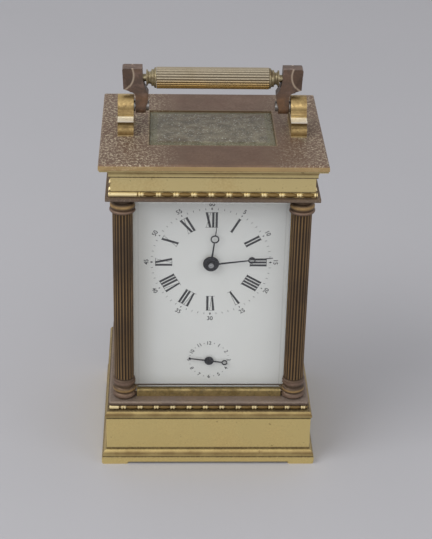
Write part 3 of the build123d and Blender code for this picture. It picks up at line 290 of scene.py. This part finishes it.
base_brass = aged(
    "base_brass",
    srgb(226, 204, 140),
    srgb(204, 180, 120),
    0.35,
    0.34,
    course_dirt(((23.7, 0.7), (7.3, 0.8), (3.7, 0.5), (27.1, 0.5)), ((25.7, 2.6), (5.4, 2.4))),
)
dress(base_brass, "base_moulding", "corner_feet", "base_floor")
frieze_brass = aged(
    "frieze_brass",
    srgb(224, 204, 146),
    srgb(204, 180, 124),
    0.35,
    0.32,
    course_dirt(((142.7, 0.5), (147.4, 0.5), (146.5, 0.3), (135.7, 0.5)), ((145.2, 2.0),)),
)
dress(frieze_brass, "cornice_frieze")


def rail_marks(place, grain):
    """A greyish bloom of corrosion in fine specks."""
    bloom = ((noise(place, 900.0, 2.0, 0.7) - 0.55) * 12.0).clip()
    return [(bloom * 0.5, srgb(120, 108, 84))]


rail_brass = aged(
    "rail_brass", srgb(172, 152, 104), srgb(124, 104, 62), 0.5, 0.38, rail_marks, patch=160.0
)
dress(rail_brass, "glass_rails")


# Brown plates. The roof plate, the seat of the columns and the architrave have lost their
# lacquer: they are an umber brown with a pale bloom of corrosion specks, and brass shows along
# the worn edges of the roof.
opening_x, opening_y = 27.4, 19.4


def roof_marks(place, grain):
    """Rust clouds, powdery bloom, green by the brackets, and brass at the opening and rim."""
    x, y, z = axes(place)
    edge = ((149.6 - z) * 3.0).clip() * (0.5 + 0.7 * noise(place, 60.0)).clip()
    side = ((abs(x) - 24.0) * 0.045 + 0.42 - x * 0.011).clip() * (0.5 + noise(place, 50.0))
    near_foot = near(abs(x), 37.0, 9.0) * near(abs(y), 8.0, 9.0)
    powder = ((noise(place, 900.0, 5.0, 0.8) - 0.50) * 11.0).clip()
    bloom = powder * (side + near_foot * 0.5)
    rust = ((noise(place, 130.0, 3.0) - 0.55) * 6.0).clip()
    green = near_foot * ((noise(place, 160.0, 3.0) - 0.5) * 6.0).clip()
    worn = near(abs(x), opening_x, 0.7).most(near(abs(y), opening_y, 0.7))
    within_x = ((opening_x + 0.5 - abs(x)) * 4.0).clip()
    within_y = ((opening_y + 0.5 - abs(y)) * 4.0).clip()
    worn = worn * within_x * within_y * grain
    return [
        (rust * 0.5, srgb(96, 70, 56)),
        (bloom.clip() * 0.8, srgb(196, 182, 156)),
        (green * 0.5, srgb(176, 180, 146)),
        (worn.clip() * 0.5, srgb(160, 144, 104)),
        (edge * 0.9, srgb(178, 150, 100)),
    ]


roof_umber = aged(
    "roof_umber", srgb(118, 94, 77), srgb(98, 77, 63), 0.6, 0.42, roof_marks, metal=0.6
)
dress(roof_umber, "roof_plate")


def seat_marks(place, grain):
    """Pale specks, a pinkish grey rim on the seat, and its edge darker below the rim."""
    z = axes(place)[2]
    rim = near(z, 31.5, 0.5) * (0.4 + grain)
    bloom = ((noise(place, 1500.0, 2.0, 0.7) - 0.57) * 14.0).clip()
    under = ((30.9 - z) * 3.0).clip()
    return [
        (bloom * 0.4, srgb(160, 146, 128)),
        (rim.clip() * 0.5, srgb(150, 136, 126)),
        (under * 0.7, srgb(78, 60, 48)),
    ]


seat_umber = aged(
    "seat_umber", srgb(126, 108, 90), srgb(98, 82, 70), 0.55, 0.42, seat_marks, metal=0.65
)
dress(seat_umber, "base_seat", "architrave")


# Bead-and-reel strips. A half-round brass strip is pinned under the seat and under the frieze.
# It is turned into long beads parted by pairs of thin reels: the beads are olive brown painted
# shade, the reels pale painted highlights, and a short length at the front left is plain and pale.
bead_period, bead_long, bead_step = 7.4, 5.0, 0.22


def bead_radius(along, plain_to):
    """Radius in mm along the strip: half-ellipse beads, then two short reels in each period."""
    t = np.mod(along, bead_period)
    bead = np.clip(1 - ((t - bead_long / 2) / (bead_long / 2)) ** 2, 0, None) ** 0.5
    reel = 0.5 - 0.5 * np.cos((t - bead_long) / (bead_period - bead_long) * 4 * pi)
    r = np.where(t < bead_long, 0.3 + 0.68 * bead, 0.55 + 0.53 * reel**0.5)
    return np.where(along < plain_to, 1.05, r)


def bead_side(length, plain_to):
    """One side of a strip: x along it, y outward, z up; a half circle of the bead's radius."""
    along = np.linspace(0, length, int(length / bead_step))
    r = bead_radius(along, plain_to)
    turn = np.linspace(pi / 2, -pi / 2, 11)
    out = np.maximum(r[:, None] * np.cos(turn), 0.0) + 0.1
    height = 1.1 + r[:, None] * np.sin(turn)
    grid = np.stack([np.broadcast_to(along[:, None], out.shape) - length / 2, out, height], -1)
    behind = np.stack([grid[:, -1], grid[:, 0]], 1)
    behind[..., 1] = -0.1
    return np.concatenate([grid, behind], 1)


def bead_marks(place, grain):
    """Olive brown beads as painted shade and pale reels as painted highlights, told apart by the
    strip's own attribute.
    """
    crest = place.node("ShaderNodeAttribute", {"attribute_name": "reel"}, out=2)
    crest = (crest * (0.75 + 0.5 * grain)).clip()
    return [
        ((1.0 - crest) * 0.9, srgb(120, 96, 56)),
        (crest * 0.85, srgb(240, 222, 172)),
    ]


bead_brass = aged("bead_brass", srgb(206, 176, 104), srgb(150, 120, 66), 0.5, 0.26, bead_marks)
for strip_name, node, low, plain in (
    ("base_beads", "base_bead_strip", 27.2, 4.0),
    ("cornice_beads", "cornice_bead_strip", 133.4, 12.0),
):
    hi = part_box(node)[1]
    bulge, corner_lap = 1.2, 1.8
    half_x, half_y = hi.x * 1000 - bulge, hi.y * 1000 - bulge
    for k in range(4):
        half_long, reach = (half_y, half_x) if k % 2 else (half_x, half_y)
        plain_to = 0.0 if k else plain
        side = bead_side(2 * half_long + corner_lap, plain_to)
        x, y, z = side[..., 0], -(side[..., 1] + reach), side[..., 2] + low
        c, s = cos(k * pi / 2), sin(k * pi / 2)
        part = np.stack([c * x - s * y, s * x + c * y, z], -1)
        mesh = grid_mesh(strip_name, part / 1000, tube=True)
        along = np.linspace(0, 1, len(part)) * (len(part) - 1) * bead_step
        on_reel = (np.mod(along, bead_period) > bead_long) | (along < plain_to)
        # Painted highlight: the reels and the plain length are marked pale, and the beads are left
        # as painted shade.
        reel_highlight = np.where(on_reel, 1.0, 0.0)
        reel = mesh.attributes.new("reel", "FLOAT", "POINT")
        reel.data.foreach_set("value", np.repeat(reel_highlight, part.shape[1]))
        strip = piece(f"{strip_name}_{k}", mesh, bead_brass, "case")
        if k == 0:
            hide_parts(node)


# Columns. Turned and fluted bronze-brown columns. The flutes are near black, the ridges between
# them carry painted highlights here and there, and the rings have a pinkish bloom.
column_x, column_y = 38.2, 29.7


def column_marks(place, grain):
    """Dark flutes and patches of painted highlight on the ridges, told apart by the distance from
    the nearest axis, and painted highlights on two tori.
    """
    x, y, z = axes(place)
    off_x, off_y = abs(x) - column_x, abs(y) - column_y
    away = (off_x * off_x + off_y * off_y).root()
    shaft = ((z - 41.5) * 2.0).clip() * ((124.6 - z) * 2.0).clip()
    # Painted highlight: the ridges between the flutes show lit brass here and there.
    ridge_glint = ((away - 4.31) * 9.0).clip() * shaft
    hollow = ((4.28 - away) * 6.0).clip() * shaft
    glint_patches = (noise(place, 45.0, 2.0) * 2.2 - 0.5).clip()
    rings = near(z, 39.7, 1.6).most(near(z, 33.0, 1.6)).most(near(z, 125.6, 1.2))
    # Painted highlight: bright bands on the upper torus of the foot and on the capital.
    torus_highlight = near(z, 35.8, 0.9).most(near(z, 128.0, 1.0)) * (0.4 + grain)
    return [
        (hollow * 0.85, srgb(40, 31, 23)),
        (ridge_glint * glint_patches * 0.65, srgb(158, 126, 80)),
        ((rings * (0.2 + grain)).clip() * 0.8, srgb(150, 124, 108)),
        (torus_highlight.clip() * 0.7, srgb(196, 160, 104)),
    ]


column_bronze = aged(
    "column_bronze", srgb(106, 86, 66), srgb(80, 64, 50), 0.6, 0.34, column_marks, metal=0.85
)
dress(
    column_bronze,
    "column_front_left",
    "column_front_right",
    "column_rear_left",
    "column_rear_right",
)


# Handle. A reeded brass grip between two spools, carried by two swept arms that fold on pivots
# in stepped brackets. The grip has a painted highlight on top, the arms are brown, the brackets
# yellow.
grip_z = 173.2


def grip_marks(place, grain):
    """A pale top as painted light from above, painted shade in the grooves inside the crests of
    the ribs, and olive clouds.
    """
    y, z = axes(place)[1:]
    # Painted highlight: the grip is paler towards the top, as if lit from above.
    lit_top = ((z - 172.6) * 0.28 + 0.45).clip()
    away = (y * y + (z - grip_z) * (z - grip_z)).root()
    # Painted shade in the grooves between the ribs.
    groove_shade = ((4.45 - away) * 5.0).clip()
    return [
        (lit_top * 0.85, srgb(164, 156, 138)),
        (groove_shade * 0.95, srgb(34, 29, 22)),
        (((noise(place, 60.0, 3.0) - 0.52) * 5.0).clip() * 0.35, srgb(120, 104, 66)),
    ]


grip_brass = aged(
    "grip_brass", srgb(184, 148, 84), srgb(160, 130, 76), 0.4, 0.14, grip_marks, metal=1.0
)
dress(grip_brass, "handle_grip")
dress(
    aged("spool_brass", srgb(170, 158, 126), srgb(104, 88, 62), 0.5, 0.28, patch=240.0),
    "handle_spools",
    "handle_rod",
)


curl_x, curl_z, curl_radius = 41.6, 175.2, 7.9


def arm_marks(place, grain):
    """Pink bloom, orange feet, and on both faces a curved painted highlight with painted shade
    inside it.
    """
    x, y, z = axes(place)
    foot = ((167.5 - z) * 0.35).clip() * ((noise(place, 160.0) - 0.35) * 3.0).clip()
    bloom = ((noise(place, 320.0, 3.0) - 0.53) * 7.0).clip()
    off_x, off_z = abs(x) - curl_x, z - curl_z
    sweep = (off_x * off_x + off_z * off_z).root()
    face = ((abs(y) - 2.1) * 6.0).clip()
    return [
        (bloom * 0.35, srgb(150, 124, 112)),
        (foot * 0.35, srgb(176, 126, 70)),
        # Painted shade inside the curve and a painted highlight along it, standing in for a carved
        # hollow.
        (((curl_radius - 0.3 - sweep) * 4.0).clip() * face * 0.35, srgb(60, 48, 40)),
        (near(sweep, curl_radius, 0.55) * face * 0.7, srgb(210, 192, 168)),
    ]


arm_umber = aged(
    "arm_umber", srgb(126, 102, 86), srgb(94, 78, 68), 0.6, 0.32, arm_marks, metal=0.8
)
dress(arm_umber, "handle_arm_left", "handle_arm_right")


def bracket_marks(place, grain):
    """Painted shade in the dark hollow and brown painted shade over it under the knuckle, a
    painted highlight on the lip, and a light line at the foot.
    """
    z = axes(place)[2]
    # Painted shade in the hollow and under the knuckle, and a painted highlight on the lip.
    under = near(z, 155.0, 2.4) * (0.6 + grain)
    knuckle_shade = near(z, 159.6, 0.9)
    lip_highlight = near(z, 157.0, 1.0) * (0.8 + grain)
    foot = near(z, 150.4, 0.5)
    return [
        (under.clip() * 0.75, srgb(96, 78, 42)),
        (knuckle_shade * 0.6, srgb(104, 80, 44)),
        (lip_highlight.clip() * 0.95, srgb(250, 244, 226)),
        (foot * 0.8, srgb(224, 206, 158)),
    ]


bracket_brass = aged(
    "bracket_brass", srgb(190, 164, 112), srgb(134, 110, 70), 0.45, 0.25, bracket_marks
)
dress(bracket_brass, "handle_supports")
screw_steel = aged("screw_steel", srgb(150, 148, 146), srgb(104, 98, 92), 0.35, 0.30)
dress(screw_steel, "handle_pivot_screws", "column_screws", "door_hinge_pins")


# Glasses. Clear panes with a wide bevel stand between the columns and in the rear door. The
# roof glass lies in its opening under years of dust, stains and fine scratches.
bevel_width, bevel_fall = 3.2, 0.7


def pane(node, across):
    """Clear glass that lets the lamps' light straight on. Its bevel is a bump alone: a height
    that falls to the pane's edge, measured along x or y (across) and along z. A grey tint along
    the arris is painted shade."""
    made, shader, place = begin(f"clear_{node}")
    lo, hi = (corner * 1000 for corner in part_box(node))
    side, high = axes(place)[across], axes(place)[2]
    inside = (side - lo[across]).least(hi[across] - side)
    inside = inside.least(high - lo.z).least(hi.z - high)
    # Painted shade: the glass is tinted grey along the arris of its bevel.
    arris_shade = near(inside, bevel_width, 0.3)
    mix((0.97, 0.985, 0.975, 1), (0.86, 0.87, 0.85, 1), arris_shade).to(shader, "Base Color")
    slope = place.node(
        "ShaderNodeBump",
        None,
        {"Strength": 1.0, "Distance": 0.001, "Height": (inside / bevel_width).clip() * bevel_fall},
    )
    slope.to(shader, "Normal")
    shader.inputs["Roughness"].default_value = 0.0
    shader.inputs["IOR"].default_value = 1.46
    shader.inputs["Transmission Weight"].default_value = 1.0
    shadow = place.node("ShaderNodeLightPath", out="Is Shadow Ray")
    lit = shadow.most(place.node("ShaderNodeLightPath", out="Is Diffuse Ray"))
    clear = place.node("ShaderNodeBsdfTransparent")
    glass = Wire(place.tree, shader.outputs[0])
    joined = place.node("ShaderNodeMixShader", None, {0: lit, 1: glass, 2: clear})
    joined.to(made.node_tree.nodes["Material Output"], "Surface")
    return made


for node, across in (
    ("front_glass", 0),
    ("left_glass", 1),
    ("right_glass", 1),
    ("rear_door_glass", 0),
):
    dress(pane(node, across), node)

dusty_glass, shader, place = begin("dusty_glass")
x, y = axes(place)[:2]
dust = noise(place, 240.0, 5.0, 0.7)
speck = ((noise(place, 1300.0, 2.0) - 0.60) * 16.0).clip()
border = ((abs(x) - 23.4) * 2.0).clip().most(((abs(y) - 15.4) * 2.0).clip())
stain = ((noise(place, 90.0, 3.0) - 0.54) * 8.0).clip()
tone = mix(srgb(84, 76, 58), srgb(128, 120, 99), ((dust - 0.38) * 4.0).clip())
streak = place.node("ShaderNodeMapping", None, {"Vector": place, "Scale": (0.25, 1.6, 1.0)})
streak = ((noise(streak, 150.0, 2.0) - 0.56) * 9.0).clip()
tone = mix(tone, srgb(80, 62, 38), (stain * 0.5).most(streak * 0.7))
tone = mix(tone, srgb(196, 198, 188), speck * 0.6)
tone = mix(tone, srgb(144, 142, 114), border * 0.5)
tone.to(shader, "Base Color")
(0.62 + dust * 0.3 - border * 0.2).clip().to(shader, "Alpha")
(0.18 + dust * 0.4).to(shader, "Roughness")
dress(dusty_glass, "roof_glass")


# Dial and hands. A white-painted brass plate printed in black: radial roman hours, a dotted
# minute ring with figures every five minutes, and a small alarm dial of twelve figures. The
# rest is bare. The hands are blackened steel.
dial_white, shader, place = begin("dial_white")
x, _, z = axes(place)
# Painted shade: the dial is darker and warmer towards its left edge and its top.
rim = ((-23.0 - x) * 0.09).clip().most(((z - 116.0) * 0.03).clip())
tone = mix(srgb(222, 223, 221), srgb(215, 215, 211), noise(place, 40.0))
mix(tone, srgb(196, 193, 184), rim * 0.7).to(shader, "Base Color")
(0.42 + noise(place, 300.0) * 0.1).to(shader, "Roughness")
dress(dial_white, "dial")

ink, shader, place = begin("dial_ink")
mix(srgb(36, 36, 40), srgb(58, 58, 62), noise(place, 700.0)).to(shader, "Base Color")
shader.inputs["Roughness"].default_value = 0.5
CENTRE_Z, ALARM_Z, INK_Y = 97.3, 47.1, -24.63
HOUR_FOOT, HOUR_HEAD, MINUTE_RING, FIGURE_RING, ALARM_RING = 17.0, 24.4, 26.0, 28.35, 8.9


def bar(u0, v0, u1, v1, low_w, high_w):
    """A stroke from (u0, v0) to (u1, v1) with level ends, low_w wide first and high_w last."""
    low, high = low_w / 2, high_w / 2
    return np.array([(u0 - low, v0), (u0 + low, v0), (u1 + high, v1), (u1 - high, v1)])


def numeral(letters, low, high):
    """Strokes of a roman numeral between two radii: thick and thin strokes with hair serifs."""
    widths = {"I": 1.45, "V": 2.5, "X": 2.7}
    total = sum(widths[letter] for letter in letters)
    u, strokes = -total / 2, []
    for letter in letters:
        mid, half = u + widths[letter] / 2, widths[letter] / 2
        if letter == "I":
            strokes.append(bar(mid, low, mid, high, 1.0, 1.0))
        elif letter == "V":
            strokes.append(bar(mid - 0.1, low, mid - half + 0.55, high, 0.7, 1.05))
            strokes.append(bar(mid + 0.1, low, mid + half - 0.3, high, 0.15, 0.2))
        else:
            strokes.append(bar(mid + half - 0.55, low, mid - half + 0.55, high, 1.05, 1.05))
            strokes.append(bar(mid - half + 0.4, low, mid + half - 0.4, high, 0.16, 0.16))
        u += widths[letter]
    serif = 0.16
    for level in (low, high - serif):
        strokes.append(bar(0, level, 0, level + serif, total, total))
    return strokes


def on_dial(shape, angle, centre_z):
    """Turns a flat shape clockwise by an angle about a centre of the dial, in metres."""
    a = radians(angle)
    u, v = shape[:, 0], shape[:, 1]
    x, z = u * cos(a) + v * sin(a), -u * sin(a) + v * cos(a) + centre_z
    return np.stack([x, np.full_like(x, INK_Y), z], 1) / 1000


def lozenge(radius, long, wide):
    """A diamond on the upright line, given by its half length and half width."""
    return np.array([(0, radius - long), (wide, radius), (0, radius + long), (-wide, radius)])


shapes = []
hours = ("XII", "I", "II", "III", "IIII", "V", "VI", "VII", "VIII", "IX", "X", "XI")
for k, letters in enumerate(hours):
    strokes = numeral(letters, HOUR_FOOT, HOUR_HEAD)
    shapes += [on_dial(stroke, 30 * k, CENTRE_Z) for stroke in strokes]
for k in range(60):
    if k % 15 == 0:
        mark = lozenge(MINUTE_RING, 0.75, 0.42)
    elif k % 5 == 0:
        mark = lozenge(MINUTE_RING, 0.5, 0.3)
    else:
        mark = bar(0, MINUTE_RING - 0.5, 0, MINUTE_RING + 0.4, 0.2, 0.2)
    shapes.append(on_dial(mark, 6 * k, CENTRE_Z))
for k in range(12):
    shapes.append(on_dial(lozenge(ALARM_RING, 0.24, 0.24), 30 * k + 15, ALARM_Z))
points = np.concatenate(shapes)
faces = np.arange(len(points)).reshape(-1, 4)
print_mesh = bpy.data.meshes.new("dial_print")
print_mesh.from_pydata(points.tolist(), [], faces.tolist())
piece("dial_print", print_mesh, ink, "case", smooth=False)


def figure(text, height, radius, angle, centre_z):
    """A figure of the built-in face as a mesh, turned so that it reads from below."""
    curve = bpy.data.curves.new("figure", "FONT")
    curve.offset = 0.014
    curve.body, curve.size, curve.align_x, curve.align_y = text, 1.0, "CENTER", "CENTER"
    held = bpy.data.objects.new("figure", curve)
    bpy.context.scene.collection.objects.link(held)
    bpy.context.view_layer.update()
    graph = bpy.context.evaluated_depsgraph_get()
    mesh = bpy.data.meshes.new_from_object(held.evaluated_get(graph))
    bpy.data.objects.remove(held)
    flat = np.zeros(len(mesh.vertices) * 3)
    mesh.vertices.foreach_get("co", flat)
    flat = flat.reshape(-1, 3)[:, :2]
    cap_height = 0.7
    flat = (flat - (flat.max(0) + flat.min(0)) / 2) * height / cap_height
    if 90 < angle < 270:
        flat = -flat
    placed = on_dial(flat * (0.95, 1.0) + (0, radius), angle, centre_z)
    mesh.vertices.foreach_set("co", placed.ravel())
    mesh.update()
    return mesh


for k in range(1, 13):
    made = figure(str(5 * k), 1.95, FIGURE_RING, 30 * k, CENTRE_Z)
    piece(f"minute_figure_{k}", made, ink, "case", smooth=False)
    made = figure(str(k), 1.7, ALARM_RING, 30 * k, ALARM_Z)
    piece(f"alarm_figure_{k}", made, ink, "case", smooth=False)

hand_black, shader, place = begin("hand_black")
mix(srgb(26, 26, 32), srgb(44, 44, 52), noise(place, 300.0)).to(shader, "Base Color")
(0.26 + noise(place, 900.0) * 0.15).to(shader, "Roughness")
shader.inputs["Metallic"].default_value = 0.6
dress(hand_black, "hour_hand", "minute_hand", "alarm_hand", "cannon_pinion")


# Rear door. A flat brass frame round a bevelled glass, hung on two pins at one edge and opened
# by a turned knob. Its lacquer is whole but for a light tarnish.
door_brass = aged("door_brass", srgb(208, 180, 112), srgb(150, 120, 68), 0.4, 0.26)
dress(door_brass, "rear_door_frame", "door_knob")


# Movement. Brass plates and brighter wheels between turned pillars, steel arbors with brass
# setting knobs at the back, and a platform with the balance under the roof glass.
movement_brass = aged("movement_brass", srgb(214, 184, 116), srgb(176, 146, 84), 0.35, 0.28)
dress(
    movement_brass,
    "front_plate",
    "back_plate",
    "movement_seat",
    "movement_pillars",
    "going_barrel",
    "alarm_barrel",
    "platform",
)
wheel_brass = aged("wheel_brass", srgb(224, 194, 120), srgb(186, 152, 84), 0.3, 0.22)
dress(
    wheel_brass,
    "second_wheel",
    "centre_wheel",
    "third_wheel",
    "contrate_wheel",
    "hour_wheel",
    "minute_wheel",
    "balance_wheel",
    "balance_cock",
)


def arbor_marks(place, grain):
    """Black in front of the dial round the centre arbor's bright end, and brass rear knobs."""
    x, y, z = axes(place)
    out = (x * x + (z - CENTRE_Z) * (z - CENTRE_Z)).root()
    boss = ((out - 1.1) * 6.0).clip() * ((-25.5 - y) * 6.0).clip()
    knob = ((y - 20.8) * 4.0).clip() * ((6.0 - abs(x)) * 2.0).clip()
    return [(boss, srgb(26, 26, 32)), (knob * 0.9, srgb(206, 176, 108))]


arbor_steel = aged(
    "arbor_steel", srgb(176, 176, 178), srgb(126, 122, 118), 0.3, 0.22, arbor_marks
)
dress(
    arbor_steel,
    "centre_arbor",
    "alarm_arbor",
    "winding_arbor",
    "alarm_winding_arbor",
    "alarm_hammer",
    "bell_post",
)
bell_bronze = aged("bell_bronze", srgb(206, 178, 118), srgb(160, 130, 78), 0.35, 0.2)
dress(bell_bronze, "alarm_bell")


def ribbon(centre, half_thick, half_high):
    """A thin flat spring along a centre line: a rectangle carried square to the line's plan."""
    along = np.gradient(centre, axis=0)
    along /= np.linalg.norm(along, axis=1, keepdims=True)
    across = np.stack([-along[:, 1], along[:, 0], 0 * along[:, 0]], 1)
    rise = np.array([0, 0, half_high])
    corners = ((-1, -1), (1, -1), (1, 1), (-1, 1))
    return np.stack([centre + a * half_thick * across + b * rise for a, b in corners], 1)


coils, coil_inner, coil_spread = 9, 1.3, 3.2
turns = np.linspace(0, coils * 2 * pi, 400)
coil_r = coil_inner + turns / turns[-1] * coil_spread
balance_x, balance_y, coil_z = -4.0, -4.0, 126.1
coil_x, coil_y = balance_x + coil_r * np.cos(turns), balance_y + coil_r * np.sin(turns)
line = np.stack([coil_x, coil_y, np.full_like(turns, coil_z)], 1)
spring_mesh = grid_mesh("hairspring", ribbon(line, 0.04, 0.12) / 1000, tube=True)
piece("hairspring", spring_mesh, arbor_steel, "case", smooth=False)


# Movement screws. Turned steel screws with domed, slotted heads, heated until they went blue.
# Four close the back plate on its pillars and one holds the cock of the balance.
def slotted_head(radius, high, slot):
    """A square grid pulled round to a disc: its height is a dome, cut down along the slot."""
    a = np.linspace(-1, 1, 13)
    b = np.concatenate([np.linspace(-1, -0.22, 6), (-0.16, 0.16), np.linspace(0.22, 1, 6)])
    a, b = np.meshgrid(a, b)
    x, y = a * np.sqrt(1 - b * b / 2), b * np.sqrt(1 - a * a / 2)
    dome = high * (1 - 0.3 * (x * x + y * y))
    dome = np.where(np.abs(b) < 0.2, high - slot, dome)
    rim = np.maximum(np.abs(a), np.abs(b)) > 0.999
    return np.stack([x * radius, y * radius, np.where(rim, 0.0, dome)], -1)


blued_steel = aged("blued_steel", srgb(64, 74, 124), srgb(44, 48, 78), 0.4, 0.2)
lo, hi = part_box("back_plate")
inset, head_radius, head_high = 3.6, 1.9, 0.9
head = slotted_head(head_radius, head_high, 0.5)
for k, (end_x, end_z) in enumerate(((lo.x, lo.z), (lo.x, hi.z), (hi.x, lo.z), (hi.x, hi.z))):
    at_x = end_x * 1000 - inset * np.sign(end_x)
    at_z = end_z * 1000 + (inset if end_z == lo.z else -inset)
    turned = np.stack([at_x - head[..., 0], hi.y * 1000 + head[..., 2], at_z + head[..., 1]], -1)
    mesh = grid_mesh(f"plate_screw_{k}", turned / 1000)
    piece(f"plate_screw_{k}", mesh, blued_steel, "case", smooth=False)
lo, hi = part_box("balance_cock")
far_end = lo.x if abs(lo.x * 1000 - balance_x) > abs(hi.x * 1000 - balance_x) else hi.x
head_x = far_end * 1000 + (2.4 if far_end == lo.x else -2.4)
head = slotted_head(1.5, 0.7, 0.4)
turned = head + np.array([head_x, balance_y, hi.z * 1000])
piece("cock_screw", grid_mesh("cock_screw", turned / 1000), blued_steel, "case", smooth=False)
